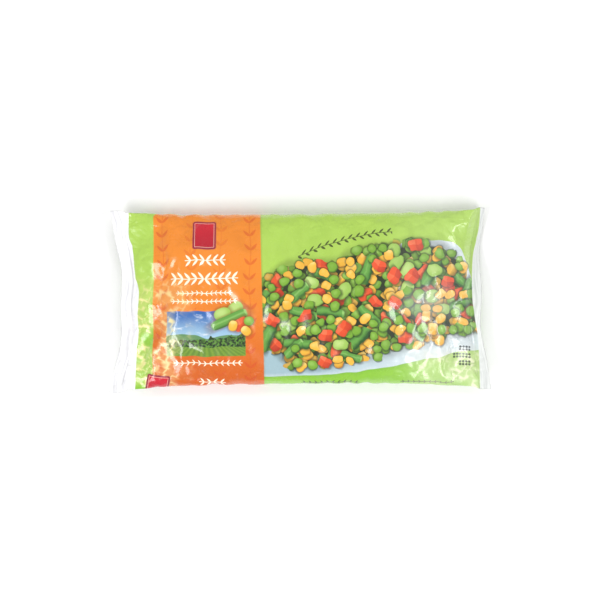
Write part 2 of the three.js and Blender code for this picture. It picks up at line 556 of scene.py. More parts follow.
class Wire:
    """A value in a node tree, with arithmetic that adds the nodes for it.

    Args:
        graph: The graph that it belongs to.
        socket: The output socket that it comes from.
    """

    def __init__(self, graph: "Graph", socket: bpy.types.NodeSocket) -> None:
        """Keeps the graph and the socket."""
        self.graph = graph
        self.socket = socket

    def __add__(self, other: "Number") -> "Wire":
        """Returns the sum."""
        return self.graph.math("ADD", self, other)

    def __sub__(self, other: "Number") -> "Wire":
        """Returns the difference."""
        return self.graph.math("SUBTRACT", self, other)

    def __rsub__(self, other: float) -> "Wire":
        """Returns the difference from a plain number."""
        return self.graph.math("SUBTRACT", other, self)

    def __mul__(self, other: "Number") -> "Wire":
        """Returns the product."""
        return self.graph.math("MULTIPLY", self, other)

    def __truediv__(self, other: "Number") -> "Wire":
        """Returns the quotient."""
        return self.graph.math("DIVIDE", self, other)

    def __rtruediv__(self, other: float) -> "Wire":
        """Returns a plain number divided by the value."""
        return self.graph.math("DIVIDE", other, self)

    def __abs__(self) -> "Wire":
        """Returns the size without its sign."""
        return self.graph.math("ABSOLUTE", self)

    __radd__ = __add__
    __rmul__ = __mul__


Number = Union[float, Wire]
Tint = tuple[float, float, float, float]
Outline = tuple[tuple[float, float], ...]


class Graph:
    """Builds one node tree with short calls.

    Places and sizes flow as single values, because every vector that waits for its turn takes up three
    of the few places that the renderer has for them.

    Args:
        tree: The node tree.
    """

    def __init__(self, tree: bpy.types.NodeTree) -> None:
        """Keeps the tree."""
        self.tree = tree

    def add(self, kind: str, **settings: object) -> bpy.types.Node:
        """Adds a node.

        Args:
            kind: The node's type.
            settings: Its properties.

        Returns:
            The node.
        """
        node = self.tree.nodes.new(kind)
        for name, value in settings.items():
            setattr(node, name, value)
        return node

    def feed(self, socket: bpy.types.NodeSocket, value: object) -> None:
        """Links a wire to a socket, or sets the socket's own value.

        Args:
            socket: The input socket.
            value: The wire or the plain value.
        """
        if isinstance(value, Wire):
            self.tree.links.new(value.socket, socket)
        else:
            socket.default_value = value

    def math(self, operation: str, *values: Number) -> Wire:
        """Adds a Math node.

        Args:
            operation: Its operation.
            values: Its inputs.

        Returns:
            The result.
        """
        node = self.add("ShaderNodeMath", operation=operation)
        for socket, value in zip(node.inputs, values):
            self.feed(socket, value)
        return Wire(self, node.outputs[0])

    def least(self, *values: Number) -> Wire:
        """Returns the smallest value, which cuts masks with each other."""
        return reduce(lambda low, value: self.math("MINIMUM", low, value), values)

    def most(self, *values: Number) -> Wire:
        """Returns the largest value, which joins masks."""
        return reduce(lambda high, value: self.math("MAXIMUM", high, value), values)

    def length(self, x: Wire, y: Wire) -> Wire:
        """Returns the distance of a place from the origin."""
        return self.math("SQRT", x * x + y * y)

    def step(self, value: Number, low: float, high: float) -> Wire:
        """Adds a smooth rise from 0 to 1, or a fall where high is the smaller limit.

        Args:
            value: The value.
            low: Where it gives 0.
            high: Where it gives 1.

        Returns:
            The share, from 0 to 1.
        """
        node = self.add("ShaderNodeMapRange", interpolation_type="SMOOTHSTEP")
        for name, number in (("Value", value), ("From Min", low), ("From Max", high)):
            self.feed(node.inputs[name], number)
        return Wire(self, node.outputs["Result"])

    def cut(self, inside: Wire) -> Wire:
        """Returns 1 where a distance is above 0, with the soft edge of a print."""
        return self.step(inside, -PRINT_EDGE, PRINT_EDGE)

    def span(self, value: Wire, low: float, high: float) -> Wire:
        """Returns 1 between two limits and 0 outside them."""
        middle, half = (low + high) / 2, (high - low) / 2
        return self.step(abs(value - middle), half + SPAN_EDGE, half - SPAN_EDGE)

    def turned(self, x: Wire, y: Wire, angle: Number) -> tuple[Wire, Wire]:
        """Finds a place on a sheet that is turned anticlockwise.

        Args:
            x: The place.
            y: The place.
            angle: The turn in radians.

        Returns:
            The place as the turned sheet has it.
        """
        if isinstance(angle, Wire):
            cosine, sine = self.math("COSINE", angle), self.math("SINE", angle)
        else:
            cosine, sine = math.cos(angle), math.sin(angle)
        return x * cosine + y * sine, y * cosine - x * sine

    def mix(self, share: Number, first: Union[Tint, Wire], second: Union[Tint, Wire]) -> Wire:
        """Mixes two colours.

        Args:
            share: The share of the second colour.
            first: The first colour.
            second: The second colour.

        Returns:
            The mixed colour.
        """
        node = self.add("ShaderNodeMix", data_type="RGBA")
        self.feed(node.inputs["Factor"], share)
        self.feed(node.inputs[6], first)
        self.feed(node.inputs[7], second)
        return Wire(self, node.outputs[2])

    def place(self, x: Number, y: Number) -> Wire:
        """Joins a flat place into a vector for a texture.

        Args:
            x: The place.
            y: The place.

        Returns:
            The vector.
        """
        node = self.add("ShaderNodeCombineXYZ")
        self.feed(node.inputs[0], x)
        self.feed(node.inputs[1], y)
        return Wire(self, node.outputs[0])

    def noise(self, x: Number, y: Number, size: float, detail: float = 2.0, kind: str = "FBM") -> Wire:
        """Adds noise.

        Args:
            x: The place.
            y: The place.
            size: The size of its spots, in the same measure as the place.
            detail: How many finer layers it has.
            kind: Its type.

        Returns:
            The noise, from about 0 to 1.
        """
        node = self.add("ShaderNodeTexNoise", noise_dimensions="2D", noise_type=kind)
        self.feed(node.inputs["Vector"], self.place(x, y))
        self.feed(node.inputs["Scale"], 1 / size)
        self.feed(node.inputs["Detail"], detail)
        return Wire(self, node.outputs[0])

    def outline(self, value: Wire, places: Outline) -> Wire:
        """Finds the height of a drawn line over a place along it.

        Args:
            value: The place along the line.
            places: The line's points, each a place and a height, in order along it.

        Returns:
            The height there.
        """
        low, high = places[0][0], places[-1][0]
        floor = min(height for _, height in places)
        rise = max(height for _, height in places) - floor
        node = self.add("ShaderNodeFloatCurve")
        curve = node.mapping.curves[0]
        while len(curve.points) < len(places):
            curve.points.new(0.5, 0.5)
        for point, (place, height) in zip(curve.points, places):
            point.location = ((place - low) / (high - low), (height - floor) / rise)
            point.handle_type = "AUTO_CLAMPED"
        node.mapping.update()
        self.feed(node.inputs["Value"], (value - low) / (high - low))
        return Wire(self, node.outputs[0]) * rise + floor

    def split(self, output: bpy.types.NodeSocket) -> tuple[Wire, Wire]:
        """Splits a vector.

        Args:
            output: The socket that it comes from.

        Returns:
            Its first two values.
        """
        node = self.add("ShaderNodeSeparateXYZ")
        self.tree.links.new(output, node.inputs[0])
        return Wire(self, node.outputs[0]), Wire(self, node.outputs[1])

    def bump(self, shader: bpy.types.Node, height: Wire) -> None:
        """Raises the surface.

        Args:
            shader: The Principled shader.
            height: The height in millimetres.
        """
        node = self.add("ShaderNodeBump")
        self.feed(node.inputs["Height"], height)
        node.inputs["Distance"].default_value = MM
        self.tree.links.new(node.outputs[0], shader.inputs["Normal"])

    def use(self, group: bpy.types.NodeTree, **values: object) -> dict[str, Wire]:
        """Places a node group.

        Args:
            group: The group.
            values: The value of each input, under its name in small letters.

        Returns:
            The outputs, under their names in small letters.
        """
        node = self.add("ShaderNodeGroup", node_tree=group)
        for name, value in values.items():
            self.feed(node.inputs[name.capitalize()], value)
        return {output.name.lower(): Wire(self, output) for output in node.outputs}


class Effect(Graph):
    """A node group with named inputs and outputs.

    Args:
        name: The group's name.
        inputs: The names of the inputs, all single values.
        outputs: The names of the outputs, all single values.
        tints: The names of the inputs that are colours.
        drawn: The name of the output that is a colour, if there is one.
    """

    def __init__(
        self, name: str, inputs: str, outputs: str = "", tints: str = "", drawn: str = ""
    ) -> None:
        """Makes the group and its sockets."""
        super().__init__(bpy.data.node_groups.new(name, "ShaderNodeTree"))
        value, colour = "NodeSocketFloat", "NodeSocketColor"
        for in_out, names, kind in (
            ("INPUT", inputs, value),
            ("INPUT", tints, colour),
            ("OUTPUT", outputs, value),
            ("OUTPUT", drawn, colour),
        ):
            for socket in names.split():
                self.tree.interface.new_socket(socket.capitalize(), in_out=in_out, socket_type=kind)
        self.entry = self.add("NodeGroupInput")
        self.exit = self.add("NodeGroupOutput")

    def taken(self, names: str) -> tuple[Wire, ...]:
        """Returns inputs by their names."""
        return tuple(Wire(self, self.entry.outputs[name.capitalize()]) for name in names.split())

    def give(self, **values: Wire) -> bpy.types.NodeTree:
        """Links the outputs.

        Args:
            values: The value of each output, under its name in small letters.

        Returns:
            The finished group.
        """
        for name, value in values.items():
            self.feed(self.exit.inputs[name.capitalize()], value)
        return self.tree


def fresh_material(name: str) -> tuple[bpy.types.Material, Graph, bpy.types.Node]:
    """Starts a material.

    Args:
        name: Its name.

    Returns:
        The material, its graph and its Principled shader.
    """
    material = bpy.data.materials.new(name)
    material.use_nodes = True
    graph = Graph(material.node_tree)
    return material, graph, graph.tree.nodes["Principled BSDF"]


@dataclass(frozen=True)
class VegetableInk:
    """The three printed tones of one kind of vegetable."""

    shade: Tint
    body: Tint
    light: Tint


class Vegetable(Enum):
    """The kinds of vegetable in the pictures."""

    PEA = VegetableInk(ink(50, 92, 24), ink(120, 168, 50), ink(162, 206, 100))
    CORN = VegetableInk(ink(190, 116, 30), ink(240, 182, 60), ink(250, 218, 130))
    CARROT = VegetableInk(ink(176, 46, 22), ink(228, 82, 40), ink(244, 124, 80))
    BEAN = VegetableInk(ink(38, 84, 34), ink(98, 158, 66), ink(148, 198, 108))
    LIMA = VegetableInk(ink(90, 132, 46), ink(156, 194, 88), ink(198, 222, 138))


@dataclass(frozen=True)
class Cut:
    """The drawn shape of one kind of piece.

    Args:
        kind: The vegetable.
        length: Half its length in millimetres.
        width: Half its width.
        squareness: 2 for an oval, more for a block.
    """

    kind: Vegetable
    length: float
    width: float
    squareness: float


@dataclass(frozen=True)
class Layer:
    """One layer of scattered vegetables.

    Args:
        first: The piece in a share of the places.
        second: The piece in the rest of them.
        share: The share of the places that hold the first piece.
        present: The share of the places that hold anything.
        pitch: The mean distance between places, in millimetres.
        jitter: How uneven the places are, from 0 to 1.
        start: Where the pattern starts, in pitches.
        inset: How far inside the outline the centre of a piece has to be.
        depth: How dark the layer is for lying low, from 0 to 1.
    """

    first: Cut
    second: Cut
    share: float
    present: float
    pitch: float
    jitter: float
    start: tuple[float, float]
    inset: float
    depth: float = 0.0


@dataclass(frozen=True)
class PlacedPiece:
    """One vegetable of the small cluster, at a place in millimetres and a turn in radians."""

    cut: Cut
    place: tuple[float, float]
    turn: float


# The softness of a printed edge and of a picture's edge, in millimetres.
PRINT_EDGE = 0.3
SPAN_EDGE = 0.25
# Where the inks deepen on the way round to the underside, from the second place to the first.
UNDERSIDE_FADE = (150.0, 95.0)
# A shift that brings every place on the film above 0, in millimetres.
FAR = 200.0
# The size, slope and turn of the two kinds of facet between the creases.
FACETS = ((13.0, 0.16, 0.5), (5.5, 0.14, 1.1))
# The outline of the heap, as heights over places along the bag.
HEAP_TOP: Outline = (
    (-50, 14), (-36, 22), (-25, 29), (-3, 38), (30, 38), (43, 45), (60, 51), (92, 55), (111, 59),
    (136, 54), (149, 46), (156, 38), (162, 18), (170, 4),
)
HEAP_FOOT: Outline = (
    (-50, -12), (-36, -33), (-26, -51), (-16, -61), (-3, -71), (24, -68), (45, -65), (76, -59),
    (106, -50), (145, -42), (170, -35),
)


class PrintEffects:
    """The node groups that the print and the film are drawn with."""

    def __init__(self) -> None:
        """Builds each group once."""
        self.scatter = self._scatter()
        self.piece = self._piece()
        self.tones = self._tones()
        self.heap = self._heap()
        self.leaf = self._leaf()
        self.crinkle = self._crinkle()

    def _scatter(self) -> bpy.types.NodeTree:
        """Builds the group that gives each point the nearest of many uneven places.

        Returns:
            The group.
        """
        outputs = "x y middle_u middle_v pick turn presence"
        g = Effect("Scattered places", "u v pitch jitter start_u start_v", outputs)
        u, v, pitch, jitter, start_u, start_v = g.taken("u v pitch jitter start_u start_v")
        across, up = u / pitch + start_u, v / pitch + start_v
        cells = g.add("ShaderNodeTexVoronoi", voronoi_dimensions="2D")
        g.feed(cells.inputs["Vector"], g.place(across, up))
        g.feed(cells.inputs["Scale"], 1.0)
        g.feed(cells.inputs["Randomness"], jitter)
        middle_x, middle_y = g.split(cells.outputs["Position"])
        draws = g.add("ShaderNodeSeparateColor")
        g.tree.links.new(cells.outputs["Color"], draws.inputs[0])
        pick, turn, presence = (Wire(g, output) for output in draws.outputs)
        return g.give(
            x=(across - middle_x) * pitch,
            y=(up - middle_y) * pitch,
            middle_u=(middle_x - start_u) * pitch,
            middle_v=(middle_y - start_v) * pitch,
            pick=pick,
            turn=turn,
            presence=presence,
        )

    def _piece(self) -> bpy.types.NodeTree:
        """Builds the group that draws one vegetable about its middle, lit from the upper left.

        Returns:
            The group.
        """
        g = Effect("Vegetable shape", "x y turn length width squareness", "mask shadow light along aside")
        x, y, turn, length, width, power = g.taken("x y turn length width squareness")
        across, up = g.turned(x, y, turn)
        along, aside = across / length, up / width
        reach = g.math("POWER", abs(along), power) + g.math("POWER", abs(aside), power)
        distance = g.math("POWER", reach, 1.0 / power)
        dome = g.math("SQRT", g.most(1.0 - distance * distance, 0.0))
        slope = (y * 0.9 - x * 0.6) / width
        return g.give(
            mask=g.step(distance, 1.03, 0.93),
            shadow=g.step(distance, 1.55, 0.95),
            light=dome * 0.62 + slope * 0.2 + 0.1,
            along=along,
            aside=aside,
        )

    def _tones(self) -> bpy.types.NodeTree:
        """Builds the group that turns a light value into one of three tones.

        Returns:
            The group.
        """
        g = Effect("Three tones", "value", tints="shade body light", drawn="colour")
        value, shade, body, light = g.taken("value shade body light")
        low = g.mix(g.step(value, 0.0, 0.5), shade, body)
        return g.give(colour=g.mix(g.step(value, 0.55, 1.0), low, light))

    def _heap(self) -> bpy.types.NodeTree:
        """Builds the group that tells how deep a point lies inside the heap's outline.

        Returns:
            The group.
        """
        g = Effect("Heap outline", "u v", "depth")
        u, v = g.taken("u v")
        below_top, above_foot = g.outline(u, HEAP_TOP) - v, v - g.outline(u, HEAP_FOOT)
        return g.give(depth=g.least(below_top, above_foot))

    def _leaf(self) -> bpy.types.NodeTree:
        """Builds the group that draws a leaf, pointed at both ends.

        Returns:
            The group.
        """
        g = Effect("Leaf shape", "x y turn length width", "mask")
        x, y, turn, length, width = g.taken("x y turn length width")
        across, up = g.turned(x, y, turn)
        along = across / length
        edge = width * (1.0 - along * along) - abs(up)
        return g.give(mask=g.least(g.step(edge, -0.12, 0.22), g.step(abs(along), 1.0, 0.9)))

    def _crinkle(self) -> bpy.types.NodeTree:
        """Builds the group that gives the height of creases in slack film, and a mask along their lines
        where the painted glare is laid.

        Returns:
            The group.
        """
        g = Effect("Fine creases", "u v amount", "height worn")
        u, v, amount = g.taken("u v amount")
        drift = g.noise(u, v, 22.0) * 14.0
        bent_u, bent_v = u + drift, v - drift
        height = g.noise(bent_u, bent_v, 15.0, 3.0, "RIDGED_MULTIFRACTAL") * 0.5
        for size, slope, angle in FACETS:
            x, y = g.turned(bent_u, bent_v, angle)
            facets = g.add("ShaderNodeTexVoronoi", voronoi_dimensions="2D", distance="CHEBYCHEV")
            g.feed(facets.inputs["Vector"], g.place(x, y))
            g.feed(facets.inputs["Scale"], 1 / size)
            distance = Wire(g, facets.outputs["Distance"])
            height = distance * (size * slope) + height
        # The second output marks the crease lines, along which the film's gloss is painted on as pale
        # glare.
        return g.give(height=height * amount, worn=g.step(distance, 0.3, 0.75))


CREAM = ink(255, 244, 222)
DARK = ink(40, 52, 22)
PEA = Cut(Vegetable.PEA, 4.9, 4.6, 2.1)
CORN = Cut(Vegetable.CORN, 5.2, 4.2, 2.5)
CARROT = Cut(Vegetable.CARROT, 7.2, 5.8, 5.0)
PALE_CORN = Cut(Vegetable.CORN, 5.6, 4.9, 2.8)
BEAN = Cut(Vegetable.BEAN, 15.5, 5.2, 4.0)
SHORT_BEAN = Cut(Vegetable.BEAN, 11.5, 4.6, 4.5)
LONG_BEAN = Cut(Vegetable.BEAN, 18.5, 4.8, 5.0)
LIMA = Cut(Vegetable.LIMA, 8.2, 6.2, 2.3)


@dataclass(frozen=True)
class Sheet:
    """The film as a drawing surface, in millimetres.

    Args:
        g: The material's graph.
        effects: The node groups that draw on it.
        u: The place along the bag, from its middle.
        v: The place round the bag, from the middle of the front.
    """

    g: Graph
    effects: PrintEffects
    u: Wire
    v: Wire

    def vegetable(self, kind: Vegetable, shape: dict[str, Wire], uneven: Number) -> Wire:
        """Tints a piece: cut faces on carrot, a pale tip on corn, a rib and a cut end on beans.

        Args:
            kind: The vegetable.
            shape: The piece's outputs from the shape group.
            uneven: How much lighter or darker this piece is.

        Returns:
            The colour.
        """
        g, light, along, aside = self.g, shape["light"], shape["along"], shape["aside"]
        if kind is Vegetable.CARROT:
            top = g.step(aside - abs(along) * 0.3, -0.05, 0.05)
            light = top * 0.34 + g.step(along, 0.04, -0.04) * 0.2 + light * 0.3 + 0.12
        elif kind is Vegetable.CORN:
            light = light * 0.75 + g.step(along, 0.1, 0.9) * 0.3 + 0.08
        elif kind is Vegetable.BEAN:
            rounded = g.step(abs(aside - 0.2), 1.0, 0.0) * 0.55
            light = rounded + g.step(along, 0.84, 0.9) * 0.35 + g.math("SINE", aside * 9.0) * 0.04 + 0.14
        elif kind is Vegetable.LIMA:
            light = light * 0.8 + 0.16
        tones = kind.value
        inks = {"shade": tones.shade, "body": tones.body, "light": tones.light}
        return g.use(self.effects.tones, value=light + uneven, **inks)["colour"]


class Motif:
    """One part of the print, drawn over what is there already."""

    def draw(self, sheet: Sheet, under: Union[Tint, Wire]) -> Wire:
        """Draws the motif.

        Args:
            sheet: The film to draw on.
            under: The colour beneath.

        Returns:
            The colour with the motif on it.
        """
        raise NotImplementedError


@dataclass(frozen=True)
class Ground(Motif):
    """The lime ground, deeper towards the lower edge and even on the underside."""

    high: Tint = ink(171, 207, 86)
    low: Tint = ink(138, 196, 56)
    deep_at: float = -88.0
    pale_at: float = 8.0
    lean: float = 0.1
    mottle_size: float = 26.0
    mottle: float = 0.3

    def draw(self, sheet: Sheet, under: Union[Tint, Wire]) -> Wire:
        """Covers the whole film.

        Args:
            sheet: The film to draw on.
            under: The colour beneath.

        Returns:
            The colour with the motif on it.
        """
        g, u, v = sheet.g, sheet.u, sheet.v
        mottle = g.noise(u, v, self.mottle_size, 3.0) * self.mottle - self.mottle / 2
        pale = g.step(v + u * self.lean, self.deep_at, self.pale_at) * g.step(v, *UNDERSIDE_FADE)
        return g.mix(pale + mottle, self.low, self.high)


@dataclass(frozen=True)
class Plate(Motif):
    """The pale plate under the heap, with its rim and the shade that it casts."""

    face: Tint = ink(160, 188, 196)
    shade: Tint = ink(150, 178, 192)
    light: Tint = ink(226, 234, 236)
    cast: Tint = ink(90, 150, 40)
    left: float = -45.0
    light_from: float = -20.0
    light_by: float = 150.0
    rim: float = 4.5
    upper: Outline = (
        (-50, 5), (60, 25), (90, 50), (106, 55.5), (142, 56.3), (152, 52.5), (158, 42), (162, 30),
        (169, 10), (185, -25),
    )
    lower: Outline = ((-50, -76), (-34, -76), (30, -75), (78, -68), (125, -59), (171, -51), (185, -49))

    def draw(self, sheet: Sheet, under: Union[Tint, Wire]) -> Wire:
        """Draws the shade, then the plate.

        Args:
            sheet: The film to draw on.
            under: The colour beneath.

        Returns:
            The colour with the motif on it.
        """
        g, u, v = sheet.g, sheet.u, sheet.v
        below, above = v - g.outline(u, self.lower), g.outline(u, self.upper) - v
        inside = g.least(below, above, u - self.left)
        at_left = g.step(u, self.left - 1.0, self.left + 1.0)
        cast = g.least(g.step(below, -5.0, 0.0), g.step(above, 0.0, 2.0), at_left)
        colour = g.mix(cast * 0.25, under, self.cast)
        face = g.mix(g.step(u, self.light_from, self.light_by), self.face, self.light)
        face = g.mix(g.step(inside, self.rim, 0.5) * 0.45, face, self.light)
        face = g.mix(g.noise(u * 0.3, v, 7.0) * 0.4, face, self.shade)
        return g.mix(g.cut(inside), colour, face)


@dataclass(frozen=True)
class Heap(Motif):
    """The pictured heap of vegetables, layer on layer, with outlines that bulge a little."""

    base: Tint = ink(34, 46, 14)
    bulge: float = 3.0
    bulge_sizes: tuple[float, float] = (7.0, 9.0)
    layers: tuple[Layer, ...] = (
        Layer(PEA, CORN, 0.5, 1.0, 9.0, 0.8, (3.1, 7.7), 3.5, 0.35),
        Layer(CORN, PEA, 0.55, 0.85, 10.2, 0.75, (11.4, 2.9), 2.0, 0.1),
        Layer(CARROT, PALE_CORN, 0.6, 0.75, 20.0, 0.8, (6.3, 14.2), 5.0, 0.05),
        Layer(BEAN, LIMA, 0.6, 0.85, 31.0, 0.6, (2.2, 5.6), 7.0),
        Layer(LIMA, SHORT_BEAN, 0.6, 0.6, 27.0, 0.8, (9.7, 1.3), 6.0),
        Layer(PEA, CORN, 0.55, 0.6, 12.0, 0.7, (5.5, 9.1), 3.5),
        Layer(CARROT, PEA, 0.45, 0.3, 17.0, 0.8, (8.8, 3.3), 4.0),
    )

    def draw(self, sheet: Sheet, under: Union[Tint, Wire]) -> Wire:
        """Draws the dark base, then each layer.

        Args:
            sheet: The film to draw on.
            under: The colour beneath.

        Returns:
            The colour with the motif on it.
        """
        g, u, v = sheet.g, sheet.u, sheet.v
        size, other_size = self.bulge_sizes
        bulge = g.noise(u, v, size, 1.0)
        bulge_v = g.noise(v, u, other_size, 1.0) * self.bulge
        half = self.bulge / 2
        uneven = Sheet(g, sheet.effects, u + bulge * self.bulge - half, v + bulge_v - half)
        depth = g.use(sheet.effects.heap, u=uneven.u, v=uneven.v)["depth"]
        colour = g.mix(g.step(depth, -5.0, 4.0) * 0.4, under, self.base)
        colour = g.mix(g.step(depth, 5.0, 8.0), colour, self.base)
        for layer in self.layers:
            colour = self._layer(uneven, colour, layer)
        return colour

    def _layer(self, sheet: Sheet, under: Wire, layer: Layer) -> Wire:
        """Scatters one layer of vegetables.

        Args:
            sheet: The film, with its places bulged.
            under: The picture so far.
            layer: The layer.

        Returns:
            The picture with the layer on it.
        """
        g, first, second = sheet.g, layer.first, layer.second
        spot = g.use(
            sheet.effects.scatter,
            u=sheet.u,
            v=sheet.v,
            pitch=layer.pitch,
            jitter=layer.jitter,
            start_u=layer.start[0],
            start_v=layer.start[1],
        )
        inside = g.use(sheet.effects.heap, u=spot["middle_u"], v=spot["middle_v"])["depth"]
        here = g.step(inside, layer.inset - 0.1, layer.inset + 0.1)
        if layer.present < 1:
            here = g.least(here, g.step(spot["presence"], layer.present + 0.01, layer.present - 0.01))
        other = g.step(spot["pick"], layer.share - 0.001, layer.share + 0.001)
        size = spot["turn"] * 0.25 + 0.85
        shape = g.use(
            sheet.effects.piece,
            x=spot["x"],
            y=spot["y"],
            turn=spot["turn"] * 2.6 - 0.9,
            length=(other * (second.length - first.length) + first.length) * size,
            width=(other * (second.width - first.width) + first.width) * size,
            squareness=other * (second.squareness - first.squareness) + first.squareness,
        )
        uneven = (spot["pick"] - 0.5) * 0.24
        drawn = sheet.vegetable(first.kind, shape, uneven)
        if second.kind is not first.kind:
            drawn = g.mix(other, drawn, sheet.vegetable(second.kind, shape, uneven))
        if layer.depth:
            drawn = g.mix(layer.depth, drawn, self.base)
        colour = g.mix(g.least(shape["shadow"], here) * 0.7, under, self.base)
        return g.mix(g.least(shape["mask"], here), colour, drawn)


@dataclass(frozen=True)
class Spray(Motif):
    """The dark spray of leaves that rises over the heap."""

    tint: Tint = ink(52, 58, 22)
    stem: Outline = ((-6, 39), (20, 50), (42, 57), (64, 62), (92, 66))
    left: float = -2.0
    right: float = 88.0
    pitch: float = 7.4
    leaf_length: float = 3.2
    leaf_width: float = 1.0
    leaf_offset: float = 1.9
    leaf_turn: float = 0.75

    def draw(self, sheet: Sheet, under: Union[Tint, Wire]) -> Wire:
        """Draws the stem and a row of leaves on each side.

        Args:
            sheet: The film to draw on.
            under: The colour beneath.

        Returns:
            The colour with the motif on it.
        """
        g, u = sheet.g, sheet.u
        off = sheet.v - g.outline(u, self.stem)
        drawn = g.step(abs(off), 0.5, 0.15)
        for start, side in ((FAR, 1.0), (FAR + self.pitch / 2, -1.0)):
            leaf = g.use(
                sheet.effects.leaf,
                x=g.math("MODULO", u + start, self.pitch) - self.pitch / 2,
                y=off * side - self.leaf_offset,
                turn=self.leaf_turn,
                length=self.leaf_length,
                width=self.leaf_width,
            )
            drawn = g.most(drawn, leaf["mask"])
        return g.mix(g.least(drawn, g.span(u, self.left, self.right)) * 0.9, under, self.tint)


@dataclass(frozen=True)
class Band(Motif):
    """The orange band, which goes round the bag, with its columns of sprigs."""

    high: Tint = ink(235, 137, 38)
    low: Tint = ink(209, 94, 12)
    sprig: Tint = ink(206, 72, 20)
    rim: Tint = ink(120, 120, 30)
    left: float = -141.6
    right_high: float = -38.0
    right_low: float = -34.3
    front_edge: float = 88.5
    back_edge: float = 95.0
    corner: float = 5.0
    first_column: float = -132.5
    column_pitch: float = 28.2
    sprig_pitch: float = 14.3
    sprig_shift: float = 5.1
    edge_slant: tuple[float, float] = (86.0, -88.0)
    deepening: tuple[float, float] = (-88.0, 30.0)
    rim_width: float = 2.4
    rim_strength: float = 0.3
    sprig_strength: float = 0.3
    outer_strength: float = 0.24
    leaf_length: float = 4.1
    leaf_width: float = 1.75
    bud_length: float = 2.6
    bud_width: float = 0.65

    def draw(self, sheet: Sheet, under: Union[Tint, Wire]) -> Wire:
        """Draws the rim's shade and the band.

        Args:
            sheet: The film to draw on.
            under: The colour beneath.

        Returns:
            The colour with the motif on it.
        """
        g, u, v = sheet.g, sheet.u, sheet.v
        right = self.right_high + (self.right_low - self.right_high) * g.step(v, *self.edge_slant)
        middle = (self.left + self.right_high) / 2
        half = (self.right_high - self.left) / 2 + 2.0
        end = g.most(self.front_edge - v, v - self.back_edge)
        beyond = g.most(abs(u - middle - 2.0) - (half - self.corner), 0.0)
        short = g.most(self.corner - end, 0.0)
        rounded = g.step(g.length(beyond, short), self.corner + 0.2, self.corner - 0.2)
        on_front = g.step(end, -0.2, 0.2)
        on_band = g.least(rounded, g.cut(right - u), on_front)
        near_rim = g.least(g.step(abs(u - right), self.rim_width, 0.0), on_front)
        colour = g.mix(near_rim * self.rim_strength, under, self.rim)
        high = g.step(v, *self.deepening) * g.step(v, *UNDERSIDE_FADE)
        orange = g.mix(high, self.low, self.high)
        return g.mix(on_band, colour, self._sprigs(sheet, orange))

    def _sprigs(self, sheet: Sheet, orange: Wire) -> Wire:
        """Draws the columns of sprigs, strongest in the two outer ones.

        Args:
            sheet: The film.
            orange: The band's colour.

        Returns:
            The colour with the sprigs on it.
        """
        g, v, leaf_shape = sheet.g, sheet.v, sheet.effects.leaf
        column = (sheet.u - self.first_column) / self.column_pitch + 0.5
        number = g.math("FLOOR", column)
        sway = g.math("SINE", v * 0.11 + number * 2.0) * 0.8
        x = (column - number - 0.5) * self.column_pitch + sway
        y = g.math("MODULO", v + 2 * FAR + number * self.sprig_shift, self.sprig_pitch) - 7.0
        out = abs(x)
        bent = y - out * out * 0.06 - 0.2
        leaf_size = {"length": self.leaf_length, "width": self.leaf_width}
        bud_size = {"length": self.bud_length, "width": self.bud_width}
        leaf = g.use(leaf_shape, x=out - 3.0, y=bent, turn=0.6, **leaf_size)
        bud = g.use(leaf_shape, x=x, y=y - 2.6, turn=math.pi / 2, **bud_size)
        strong = g.step(abs(number - 1.5), 1.0, 1.3) * self.outer_strength + self.sprig_strength
        drawn = g.most(leaf["mask"], g.step(abs(x), 0.55, 0.2) * 0.7, bud["mask"] * 0.8)
        return g.mix(drawn * strong, orange, self.sprig)


